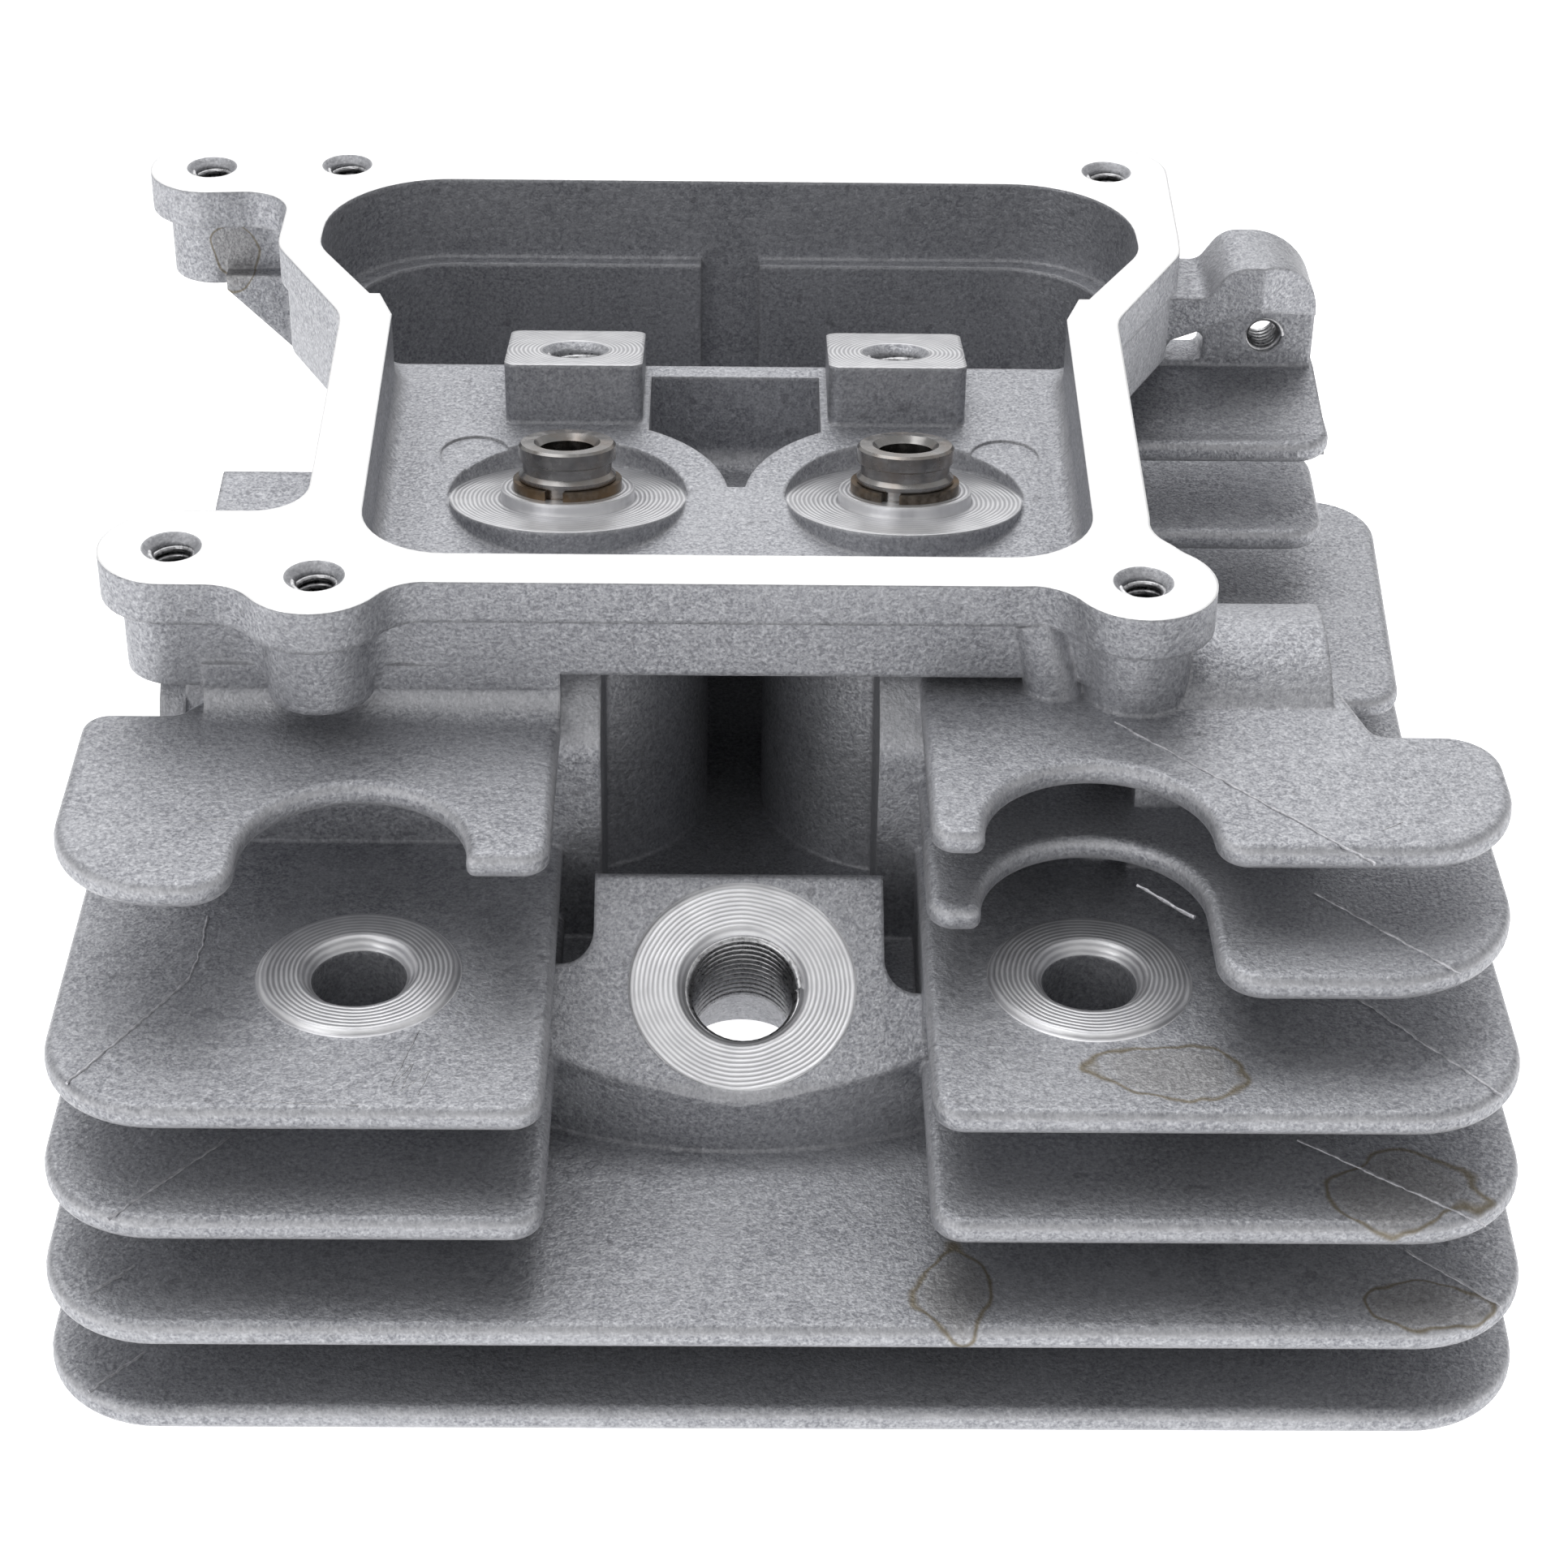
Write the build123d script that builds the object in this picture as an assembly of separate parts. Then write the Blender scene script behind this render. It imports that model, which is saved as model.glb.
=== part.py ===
# Overhead-valve cylinder head for a small air-cooled engine.
# Millimetres. Origin: bore axis on the gasket face. X right, Y towards the pushrod side, Z up.
# The spark plug is on the -Y side, the intake port on -X, the exhaust port on +X.
from build123d import *
import math
import os

# ---- gasket face
gasket_half = 54.0
gasket_front = -70.0
gasket_corner = 16.0

# ---- head bolts
head_bolt_x = 40.0        # half of the bolt rectangle
head_bolt_y = 55.0
head_bolt_hole = 10.5
head_bolt_pad = 22.3
head_bolt_chamfer = 13.0
bolt_post = 12.5
access_radius = 12.3      # clearance for the socket on the front bolts

# ---- levels above the gasket face
pad_top = 38.6            # machined head bolt pads
pad_bevel = 0.6
cover_top = 72.0          # machined cover flange
lip_depth = 5.2           # first step below the flange
step_bottom = 59.6        # second, inset step
lug_bottom = 57.5
rocker_floor = 62.0
channel_floor = 49.3      # cooling channel between the two valve towers
valley_floor = 25.0       # outside of the chamber roof, between the ports
cast_wall = 7.0

# ---- cooling fins
fin_thick = 3.0
fin_pitch = 10.0
fin_edge = 1.2
fin_left = -72.5
fin_right = 85.4
fin_shoulder = 17.2          # back edge of the right fins, ending at the exhaust face
fin_front = [-91.6, -89.7, -84.5, -78.6]   # lower four fins, bottom one first
fin_five_front = -68.4    # fifth and sixth fins, right of the recess
fin_six_front = -58.6
fin_left_front = -62.2    # top fin left of the recess
fin_corner = 13.0
small_corner = 5.0
first_fin_top = 8.0
left_top_fin = 54.6
tab_front = -56.3
left_fin_back = -28.0
right_fin_back = -36.0
rear_fin_right = 91.0
rear_fin_back = 84.0
fin_flank_back = 71.5
rear_fin_front = [18.0, 44.0, 50.0]        # short fins behind the exhaust port
short_fin_right = 80.5
wall_left_x = -59.0       # front wall left of the plug recess
wall_left_y = -27.2
wall_low_y = -29.6        # the same wall below the top fin
wall_foot = 3.5
wall_right_y = -21.0

# ---- plug recess between the split fins
recess_left = -18.8
recess_right = 21.9

rib_front = -30.0
rib_width = 4.5

# ---- rocker box
box_front = -21.8
box_back = 79.4
box_half_front = 41.6
box_half_neck = 42.6
box_neck_y = 38.0
box_half_back = 53.7
box_flare_y = 58.0
box_corner_front = 10.0
box_corner_back = 16.0
rim = 6.4
rim_side = 5.5
rim_back = 8.1
step_inset = 0.8
floor_front = -20.0       # the thick part of the rocker floor starts here
ejector_marks = [(-31.3, 20.3), (34.1, 20.3)]
ejector_dia = 8.5
ejector_depth = 0.3
well_front = 44.0         # the pushrod well starts behind the rocker floor
well_floor = 38.0
well_half = 50.6
well_wall = 2.8
well_skirt = 57.0         # the side walls step in to the well below this height
ledge_height = 60.5
ledge_depth = 2.2
ledge_gap = 8.0
pushrod_x = 18.0
pushrod_y = 63.0
pushrod_slot = 14.0

# ---- cover screws, M6
cover_screws = [(-45.7, -27.0), (46.2, -27.0), (-62.3, -20.8), (-52.5, 83.8), (51.5, 83.8), (-70.8, 82.6)]
m6_drill = 5.0
m6_chamfer = 6.8
m6_depth = 12.5
lug_radius = 8.3
lug_post = 6.0
lug_blend = 6.0

# ---- valves
valve_sides = ["intake", "exhaust"]
valve_x = {"intake": -19.4, "exhaust": 21.3}
valve_tilt = 12.5
valve_y = 9.0             # where the axis crosses the spring seat plane
spring_seat_z = 62.0
spring_seat_dia = 28.5
step_ring_dia = 16.1
step_ring_height = 1.4
tower_radius = 17.0
collar_radius = 19.5
guide_dia = 11.7
guide_bore = 6.6
guide_above = 7.0
guide_below = 32.0
ring_wire = 1.1
ring_gap = 2.2
ring_turn = {"intake": -12.0, "exhaust": -18.0}
seat_outer = {"intake": 38.0, "exhaust": 34.0}
seat_height = 6.0
seat_wall = 3.0
chamber_roof_z = 8.0      # chamber roof where the valve axes meet it
port_radius = {"intake": 13.0, "exhaust": 12.0}
port_face = {"intake": -64.8, "exhaust": 68.2}
port_y = {"intake": -3.5, "exhaust": -4.0}
port_z = {"intake": 38.5, "exhaust": 36.0}
port_stud_dy = {"intake": 14.0, "exhaust": -16.0}   # upper stud from the port centre
port_stud_dz = {"intake": 14.0, "exhaust": 10.5}
port_wall = 3.5
port_straight = 14.0      # level part of the passage behind the port face
port_bend = 14.0          # height of the passage bend above the chamber roof
port_front = 20.0         # intake boss around the port centre
port_rear = 22.0
port_top = 61.5
port_bottom = 20.0
port_plate = 3.0
exhaust_lobe = 16.0       # radius around the upper exhaust stud
exhaust_foot = 8.0
exhaust_root = 46.0
m8_drill = 6.8
m8_depth = 13.0

# ---- rocker studs, M8
stud_x = [-19.4, 21.0]
stud_y = 36.7
stud_pad = 17.2
stud_top = 68.2
stud_lead = 0.8           # the stud holes sit this far in front of the pad centres
stud_chamfer = 8.6
stud_depth = 12.0

# ---- bracket ear behind the right fins
ear_x = 72.7
ear_y = 68.0
ear_z = 55.2
ear_right = 79.4
ear_top = 67.9
ear_shoulder = 63.5
ear_thick = 6.5
ear_band = 6.0            # the slanted band stands in front of the ear
ear_ledge = 2.6
ear_window = 58.5         # left edge of the window through the ear
ear_drill = 5.0

# ---- spark plug, M14
plug_x = 2.0
plug_y = -48.9
plug_z = 32.1
plug_tilt = 28.2
plug_drill = 12.9
plug_seat = 25.4
plug_chamfer = 14.8
plug_nose = -60.8
plug_ridge = -36.3
plug_pocket = 4.0
plug_sink = 0.35          # the seat is spot-faced into the boss
plug_arch = 54.0

# ---- combustion chamber
chamber_dia = 84.0
chamber_y = -4.0
squish_y = 32.0

tan_v = math.tan(math.radians(valve_tilt))
sin_v = math.sin(math.radians(valve_tilt))
cos_v = math.cos(math.radians(valve_tilt))
sin_p = math.sin(math.radians(plug_tilt))
cos_p = math.cos(math.radians(plug_tilt))
fin_top = [first_fin_top + fin_pitch * i for i in range(6)]


# ---- helpers
def block(x0, x1, y0, y1, z0, z1):
    return Pos((x0 + x1) / 2, (y0 + y1) / 2, (z0 + z1) / 2) * Box(x1 - x0, y1 - y0, z1 - z0)


def post(x, y, z0, z1, radius):
    return Pos(x, y, (z0 + z1) / 2) * Cylinder(radius, z1 - z0)


def rod(start, end, r0, r1=None):
    axis = Vector(*end) - Vector(*start)
    where = Plane(origin=start, z_dir=axis)
    base = (Align.CENTER, Align.CENTER, Align.MIN)
    if r1 is None:
        return where * Cylinder(r0, axis.length, align=base)
    return where * Cone(r0, r1, axis.length, align=base)


def outline(corners):
    """Closed outline from (x, y, corner radius) triples."""
    points = [(x, y) for x, y, r in corners]
    radii = [r for x, y, r in corners]
    return make_face(FilletPolyline(*points, radius=radii, close=True))


def slab(face, z0, z1):
    return Pos(0, 0, z0) * extrude(face, z1 - z0)


def side_slab(corners, x0, x1):
    """Extrude a (y, z, corner radius) outline from x0 to x1."""
    return Plane(origin=(x0, 0, 0), x_dir=(0, 1, 0), z_dir=(1, 0, 0)) * extrude(outline(corners), x1 - x0)


def front_slab(corners, y0, y1):
    """Extrude an (x, z, corner radius) outline from y0 back to y1."""
    return Plane(origin=(0, y1, 0), x_dir=(1, 0, 0), z_dir=(0, -1, 0)) * extrude(outline(corners), y1 - y0)


def soften(solid, radius, axis=Axis.Z):
    """Round the edges at both ends of a plate."""
    groups = solid.edges().group_by(axis)
    return fillet(groups[0] + groups[-1], radius)


# ---- tilted axes
def valve_plane(side):
    return Plane(origin=(valve_x[side], valve_y, spring_seat_z), x_dir=(1, 0, 0), z_dir=(0, sin_v, cos_v))


def on_valve(side, low, high, radius):
    """Cylinder on a valve axis, measured up from the spring seat plane."""
    return valve_plane(side) * (Pos(0, 0, (low + high) / 2) * Cylinder(radius, high - low))


def roof_distance():
    """Distance down the valve axis from the spring seat to the chamber roof."""
    return (spring_seat_z - chamber_roof_z) / cos_v


def on_plug(low, high, r0, r1=None):
    """Cylinder or cone on the plug axis, measured outwards from its seat."""
    where = Plane(origin=(plug_x, plug_y, plug_z), x_dir=(1, 0, 0), z_dir=(0, -sin_p, cos_p))
    shape = Cylinder(r0, high - low) if r1 is None else Cone(r0, r1, high - low)
    return where * (Pos(0, 0, (low + high) / 2) * shape)


# ---- fins
def fin(corners, top, cut_side=0):
    face = outline(corners)
    if cut_side:
        face = face - Pos(cut_side * head_bolt_x, -head_bolt_y) * Circle(access_radius)
    return soften(slab(face, top - fin_thick, top), fin_edge)


def full_fin(front, top):
    return fin([(fin_left, front, fin_corner), (fin_right, front, fin_corner),
                (rear_fin_right, fin_flank_back, 9),
                (60, rear_fin_back, 9), (fin_left, rear_fin_back, fin_corner)], top)


def split_fins(front, top):
    left = fin([(fin_left, front, fin_corner), (recess_left, front, 3.5),
                (recess_left, box_front, 0), (wall_left_x + 2, box_front, 0),
                (wall_left_x - 3, left_fin_back, 2), (fin_left, left_fin_back, 6)], top)
    shoulder = fin_right - fin_shoulder
    right = fin([(recess_right, front, 3.5), (fin_right, front, fin_corner),
                 (fin_right, right_fin_back, 6), (shoulder, right_fin_back, 2),
                 (shoulder - 8, box_front, 0), (recess_right, box_front, 0)], top)
    return [left, right]


def notched_right(front, top, corner):
    notch_in = head_bolt_x - access_radius
    notch_out = head_bolt_x + access_radius
    tab = (notch_in - recess_right) / 2 - 0.05
    lobe = min(small_corner, -head_bolt_y - front - 0.1)
    shoulder = fin_right - fin_shoulder
    corner = min(corner, fin_right - notch_out - lobe - 1.5)
    return fin([(recess_right, tab_front, tab), (notch_in, tab_front, tab * 0.45),
                (notch_in, -head_bolt_y, 0),
                (notch_out, -head_bolt_y, 0), (notch_out, front, lobe), (fin_right, front, corner),
                (fin_right, right_fin_back, 6), (shoulder + 4, right_fin_back, 2),
                (shoulder, box_front, 0), (recess_right, box_front, 0)], top, 1)


def notched_left(front, top):
    notch_in = -head_bolt_x + access_radius
    notch_out = -head_bolt_x - access_radius
    lobe = min(small_corner, -head_bolt_y - front - 0.1)
    return fin([(fin_left, front, fin_corner), (notch_out, front, lobe), (notch_out, -head_bolt_y, 0),
                (notch_in, -head_bolt_y, 0), (notch_in, tab_front, 0.8), (recess_left, tab_front, 3),
                (recess_left, box_front, 0), (wall_left_x + 2, box_front, 0),
                (wall_left_x - 3, left_fin_back, 2), (fin_left, left_fin_back, 3)], top, -1)


def rear_fin(front, right_front, right_back, top):
    return fin([(20, front, 0), (right_front, front, small_corner), (right_back, fin_flank_back, 9),
                (20, fin_flank_back, 0)], top)


def fins():
    plates = [full_fin(fin_front[0], fin_top[0]), full_fin(fin_front[1], fin_top[1])]
    plates += split_fins(fin_front[2], fin_top[2])
    plates += split_fins(fin_front[3], fin_top[3])
    plates.append(notched_right(fin_five_front, fin_top[4], 16))
    plates.append(notched_right(fin_six_front, fin_top[5], 12))
    plates.append(notched_left(fin_left_front, left_top_fin))
    plates.append(rear_fin(rear_fin_front[0], rear_fin_right - 4.2, rear_fin_right - 0.5, fin_top[2]))
    plates.append(rear_fin(rear_fin_front[1], short_fin_right - 1, short_fin_right, fin_top[3]))
    plates.append(rear_fin(rear_fin_front[2], short_fin_right, short_fin_right, fin_top[4]))
    plates += [back_fin(fin_top[2]), back_fin(fin_top[3])]
    return plates


def back_fin(top):
    """Short fin across the rear wall, between the rear lugs."""
    half = well_half - 3
    return fin([(-half, box_back - 10, 0), (half, box_back - 10, 0), (half, rear_fin_back + 5, 6),
                (-half, rear_fin_back + 5, 6)], top)


# ---- rocker box
def box_outline(grow, grow_side, grow_back, corner):
    """Plan of the rocker box, grown outwards at the front, the flared sides and the back."""
    return outline([(-box_half_front - grow, box_front - grow, box_corner_front + grow),
                    (box_half_front + grow, box_front - grow, box_corner_front + grow),
                    (box_half_neck + grow, box_neck_y, 9), (box_half_back + grow_side, box_flare_y, 9),
                    (box_half_back + grow_side, box_back + grow_back, corner),
                    (-box_half_back - grow_side, box_back + grow_back, corner),
                    (-box_half_back - grow_side, box_flare_y, 9), (-box_half_neck - grow, box_neck_y, 9)])


def outer_outline(inset):
    return box_outline(rim - inset, rim_side - inset, rim_back - inset, box_corner_back - inset)


def bar(start, end, radius):
    """Flat bar with round ends between two screw centres."""
    dx = end[0] - start[0]
    dy = end[1] - start[1]
    turn = math.degrees(math.atan2(dy, dx))
    middle = Pos((start[0] + end[0]) / 2, (start[1] + end[1]) / 2) * Rot(0, 0, turn)
    return middle * SlotCenterToCenter(math.hypot(dx, dy), 2 * radius)


def flange_face(inset, radius, blend):
    """Cover flange with its screw lugs; concave corners are blended."""
    face = outer_outline(inset)
    for x, y in cover_screws:
        face = face + Pos(x, y) * Circle(radius)
    outer_x, outer_y = cover_screws[2]
    face = face + bar((outer_x, outer_y), (-box_half_front, outer_y), radius)
    face = face + bar(cover_screws[5], cover_screws[3], radius)
    for side in (-1, 1):
        x = side * box_half_front
        face = face + bar((x, box_front), (x + side * 2, box_front - 2), radius)
        face = face + bar((side * (box_half_back - 7), box_back), (side * 51.5, box_back + 3), radius)
    face = face + bar(cover_screws[4], (cover_screws[4][0] - 0.5, box_flare_y + 4), radius)
    grown = offset(face, amount=blend, kind=Kind.ARC)
    return offset(grown, amount=-blend, kind=Kind.ARC)


def cove(x0, x1, y, z, radius):
    """Concave fillet where a wall facing -Y stands on a level surface."""
    corner = block(x0, x1, y - radius, y + 1, z - 1, z + radius)
    return corner - rod((x0 - 1, y - radius, z + radius), (x1 + 1, y - radius, z + radius), radius)


def rocker_box():
    lip = slab(flange_face(0, lug_radius, lug_blend), cover_top - lip_depth, cover_top)
    step = slab(flange_face(step_inset, lug_post, lug_blend - 2), step_bottom, cover_top - lip_depth)
    pieces = [lip, step] + well_walls()
    pieces += [post(x, y, lug_bottom, step_bottom + 1, lug_post) for x, y in cover_screws]
    outer_x, outer_y = cover_screws[2]
    pieces.append(slab(bar((outer_x, outer_y), (-box_half_front, outer_y), lug_post),
                       lug_bottom, step_bottom + 1))
    pieces.append(block(wall_left_x, recess_left, wall_left_y, 0, pad_top - 8, step_bottom + 1))
    pieces.append(block(wall_left_x, recess_left, wall_low_y, 0, pad_top - 8, left_top_fin - 1))
    pieces.append(block(wall_left_x, recess_left, box_front - rim + step_inset, 0, lug_bottom,
                        step_bottom + 1))
    pieces.append(cove(wall_left_x, recess_left, wall_left_y, left_top_fin, wall_foot))
    return pieces


def well_walls():
    """Side and rear walls around the pushrod well, narrower below the skirt."""
    behind = block(-90, 90, well_front - cast_wall, 100, 0, 90)
    skirt = slab(outer_outline(step_inset), well_skirt, step_bottom) & behind
    mouth = well_mouth() + well_wall
    half = well_half + well_wall
    back = box_back + rim_back - step_inset
    lower = slab(outline([(-mouth, well_front - cast_wall, 0), (mouth, well_front - cast_wall, 0),
                          (half, box_flare_y, 9),
                          (half, back, box_corner_back), (-half, back, box_corner_back),
                          (-half, box_flare_y, 9)]), pad_top - 4, well_skirt)
    return [skirt, lower]


def well_mouth():
    """Half width of the well at its front wall."""
    flare = (well_half - box_half_neck) / (box_flare_y - box_neck_y)
    return box_half_neck + (well_front - box_neck_y) * flare - 1


def rocker_cavity():
    front = outline([(-box_half_front, box_front, box_corner_front),
                     (box_half_front, box_front, box_corner_front),
                     (box_half_neck, box_neck_y, 0), (box_half_neck + 4, well_front + 6, 0),
                     (-box_half_neck - 4, well_front + 6, 0), (-box_half_neck, box_neck_y, 0)])
    shelf = slab(front, rocker_floor, cover_top + 1)
    shelf = fillet(shelf.edges().group_by(Axis.Z)[0], 2.5)
    upper = slab(box_outline(0, 0, 0, box_corner_back), ledge_height, cover_top + 1)
    upper = upper & block(-70, 70, well_front, 100, 0, 90)
    mouth = well_mouth()
    side = well_half
    back = box_back - ledge_depth
    well = slab(outline([(-mouth, well_front, 2), (mouth, well_front, 2), (side, box_flare_y, 6),
                         (side, back, box_corner_back - ledge_depth), (-side, back,
                                                                       box_corner_back - ledge_depth),
                         (-side, box_flare_y, 6)]), well_floor, cover_top)
    well = fillet(well.edges().group_by(Axis.Z)[0], 1.8)
    gap = block(-ledge_gap / 2, ledge_gap / 2, well_front + 20, box_back, well_floor + 4, cover_top)
    return [shelf, upper, well, gap]


def channel_cut():
    """Cooling channel between the towers; it ramps up towards the front."""
    ramp = side_slab([(41, cover_top, 0), (41, channel_floor, 3), (30, channel_floor, 6),
                      (12, rocker_floor, 0),
                      (12, cover_top, 0)], -10, 11.5)
    for side in valve_sides:
        ramp = ramp - on_valve(side, -40, 20, collar_radius)
    return ramp & block(-60, 60, -60, 60, 0, rocker_floor)


def stud_bosses():
    bosses = []
    for x in stud_x:
        half = stud_pad / 2
        rise = half * tan_v
        side = [(stud_y - half, rocker_floor - 8, 0), (stud_y - half, stud_top + rise, 0),
                (stud_y + half, stud_top - rise, 0), (stud_y + half, rocker_floor - 8, 0)]
        boss = side_slab(side, x - half, x + half)
        upright = boss.edges().filter_by(Axis.Z)
        bosses.append(fillet(upright, 1.5))
    return bosses


def spring_seats():
    seats = []
    for side in valve_sides:
        seats.append(on_valve(side, -8, 0, spring_seat_dia / 2))
        seats.append(on_valve(side, -8, step_ring_height, step_ring_dia / 2))
    return seats


# ---- ports, plug boss, ears
def port_boss(side):
    y, z, x = port_y[side], port_z[side], port_face[side]
    bend = port_bend_point(side)
    tube = rod(bend, port_elbow(side), port_radius[side] + port_wall)
    if side == "exhaust":
        upper = Pos(y + port_stud_dy[side], z + port_stud_dz[side]) * Circle(exhaust_lobe)
        lower = Pos(y - port_stud_dy[side], z - port_stud_dz[side]) * Circle(exhaust_foot)
        middle = Pos(y, z) * Circle(port_radius[side] + port_wall)
        face = make_hull(upper.edges() + lower.edges() + middle.edges())
        where = Plane(origin=(exhaust_root, 0, 0), x_dir=(0, 1, 0), z_dir=(1, 0, 0))
        return [tube, where * extrude(face, x - exhaust_root)]
    front = y - port_front
    back = y + port_rear
    corners = [(front, port_bottom, 8), (front, port_top - 3, 8), (back, port_top, 3), (back, port_bottom, 8)]
    plate = [(front - 2, port_bottom, 9), (front - 2, port_top - 5, 9), (back, port_top - 5, 9),
             (back, port_bottom, 9)]
    return [tube, side_slab(corners, x + port_plate, -box_half_front - 3),
            side_slab(plate, x, x + port_plate)]


def port_bend_point(side):
    """Where the passage from the port face meets the valve axis."""
    down = roof_distance() - port_bend
    return (valve_x[side], valve_y - down * sin_v, spring_seat_z - down * cos_v)


def port_elbow(side):
    return (port_face[side] - math.copysign(port_straight, port_face[side]), port_y[side], port_z[side])


def port_cut(side):
    bend = port_bend_point(side)
    elbow = port_elbow(side)
    mouth = (port_face[side] * 1.05, port_y[side], port_z[side])
    radius = port_radius[side]
    inner = seat_outer[side] / 2 - seat_wall
    bowl = on_valve(side, -roof_distance(), port_bend - roof_distance(), inner)
    return [bowl, Pos(*bend) * Sphere(inner), rod(bend, elbow, radius), Pos(*elbow) * Sphere(radius),
            rod(elbow, mouth, radius)]


def plug_boss():
    """Block under the tilted plug seat: arched nose, and a pocket on each side at the back."""
    slope = sin_p / cos_p
    rise = plug_sink / cos_p
    nose_z = plug_z + rise + (plug_nose - plug_y) * slope
    ridge_z = plug_z + rise + (plug_ridge - plug_y) * slope
    side = [(plug_nose, 6, 0), (plug_nose, nose_z, 3), (plug_ridge, ridge_z, 1.5),
            (plug_ridge + 9, valley_floor - 6, 0), (plug_ridge + 9, 6, 0)]
    boss = side_slab(side, recess_left - 1, recess_right + 1)
    boss = boss & post((recess_left + recess_right) / 2, plug_nose + plug_arch, 0, 60, plug_arch)
    for x, y in ((recess_left, plug_y + 2), (recess_right, plug_y - 1)):
        pocket = outline([(x - plug_pocket, y, plug_pocket - 0.3), (x + plug_pocket, y, plug_pocket - 0.3),
                          (x + plug_pocket, plug_ridge + 20, 0), (x - plug_pocket, plug_ridge + 20, 0)])
        boss = boss - slab(pocket, fin_top[1] + 3, 60)
    return [boss]


def ribs():
    """Ribs beside the valve towers and the slanted strut over the right front bolt."""
    pieces = []
    for x0, x1 in ((recess_left - 2, recess_left + rib_width), (recess_right - rib_width, recess_right + 1)):
        side = [(rib_front, 20, 0), (rib_front, 52, 5), (-20, 62, 0), (0, 62, 0), (0, 20, 0)]
        rib = side_slab(side, x0, x1)
        pieces.append(rib)
    pieces.append(rod((34.5, -25.6, cover_top - lip_depth), (43.5, -28.2, pad_top - 3), 3.0, 4.4))
    return pieces


def right_ear():
    """Bracket ear with a cross hole behind the right fins, and the slanted band in front of it."""
    foot = fin_top[4] - fin_thick
    root = well_half - 2
    top = fin_top[4] + ear_ledge
    back = ear_y + ear_thick
    ear = front_slab([(root, foot, 0), (ear_right, foot, 1), (ear_right, ear_top, 9), (ear_x - 6, ear_top, 4),
                      (ear_x - 9, ear_shoulder, 2), (root, ear_shoulder, 0)], ear_y, back)
    band = front_slab([(root, ear_z - 2, 0), (root + 5, ear_z, 0), (ear_x - 2, ear_z + 6.5, 3),
                       (ear_right, ear_z + 3.4, 0),
                       (ear_right, ear_top, 9), (ear_x - 6, ear_top, 4), (ear_x - 9, ear_shoulder, 2),
                       (root, ear_shoulder, 0)], ear_y - ear_band, ear_y)
    front = ear_y - ear_band - 1
    taper = slab(outline([(ear_x - 3, front, 0), (ear_right + 1, front, 0), (ear_right + 1, ear_y, 0)]),
                 foot, cover_top)
    wedge = side_slab([(rear_fin_front[2] + 3, foot, 0), (rear_fin_front[2] + 3, fin_top[4], 0),
                       (ear_y, top, 0),
                       (back, top, 0), (back, foot, 0)], root, short_fin_right - 0.6)
    low = top + 0.6
    window = front_slab([(ear_window, low, 1), (ear_window + 6, low, 1), (ear_window + 6, low + 5, 1.5),
                         (ear_window + 2, low + 4, 1)], ear_y - 1, back + 1)
    return [ear - window, band - taper, wedge]


def left_ear():
    """Gusset under the outer rear cover lug."""
    x, y = cover_screws[5]
    low = lug_bottom - 13.5
    return [front_slab([(x + 2, step_bottom, 0), (x + 2, lug_bottom, 0), (-well_half - 5, low, 0),
                        (-well_half, low, 0),
                        (-well_half, step_bottom, 0)], y - 8, y + 3)]


# ---- body between the fins
def core():
    land = outline([(-gasket_half, gasket_front, gasket_corner), (gasket_half, gasket_front, gasket_corner),
                    (gasket_half, rear_fin_back, gasket_corner), (-gasket_half, rear_fin_back,
                                                                  gasket_corner)])
    pieces = [slab(land, 0, first_fin_top - fin_thick + 1), post(0, 0, 0, valley_floor, chamber_dia / 2 + 9)]
    for sx in (-1, 1):
        for sy in (-1, 1):
            pieces.append(post(sx * head_bolt_x, sy * head_bolt_y, 0, well_floor - 1, bolt_post))
        pieces.append(block(min(sx * 22, sx * 50), max(sx * 22, sx * 50),
                            -head_bolt_y, 10, 0, pad_top - fin_thick))
    half = well_half + well_wall
    back = outline([(-50, well_front - 16, 6), (50, well_front - 16, 6), (half, box_flare_y, 8),
                    (half, rear_fin_back, 12), (-half, rear_fin_back, 12), (-half, box_flare_y, 8)])
    pieces.append(slab(back, 0, well_floor))
    floor = slab(outer_outline(step_inset + 1), rocker_floor - cast_wall, rocker_floor)
    pieces.append(floor & block(-60, 60, floor_front, well_front, 0, 90))
    pieces.append(block(-12, 13.5, 2, well_front, channel_floor - cast_wall, rocker_floor))
    for side in valve_sides:
        pieces.append(on_valve(side, -(spring_seat_z - 15), -3, tower_radius))
    pieces.append(block(recess_right, 50, wall_right_y, 10, valley_floor, step_bottom))
    return pieces


# ---- machining
def screw_hole(x, y, top, drill, chamfer, depth):
    step = (chamfer - drill) / 2
    return [post(x, y, top - depth, top + 1, drill / 2), rod((x, y, top - step), (x, y, top),
                                                             drill / 2, chamfer / 2)]


def bolt_holes():
    cuts = []
    chamfer = (head_bolt_chamfer - head_bolt_hole) / 2
    for sx in (-1, 1):
        for sy in (-1, 1):
            x, y = sx * head_bolt_x, sy * head_bolt_y
            cuts.append(post(x, y, -1, cover_top, head_bolt_hole / 2))
            cuts.append(rod((x, y, pad_top - chamfer), (x, y, pad_top + 0.01),
                            head_bolt_hole / 2, head_bolt_chamfer / 2))
    for x, y in cover_screws:
        cuts += screw_hole(x, y, cover_top, m6_drill, m6_chamfer, m6_depth)
    return cuts


def ejector_cuts():
    """Round marks that the die's ejector pins leave in the rocker floor."""
    low = rocker_floor - ejector_depth
    return [post(x, y, low, rocker_floor + 1, ejector_dia / 2) for x, y in ejector_marks]


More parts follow.
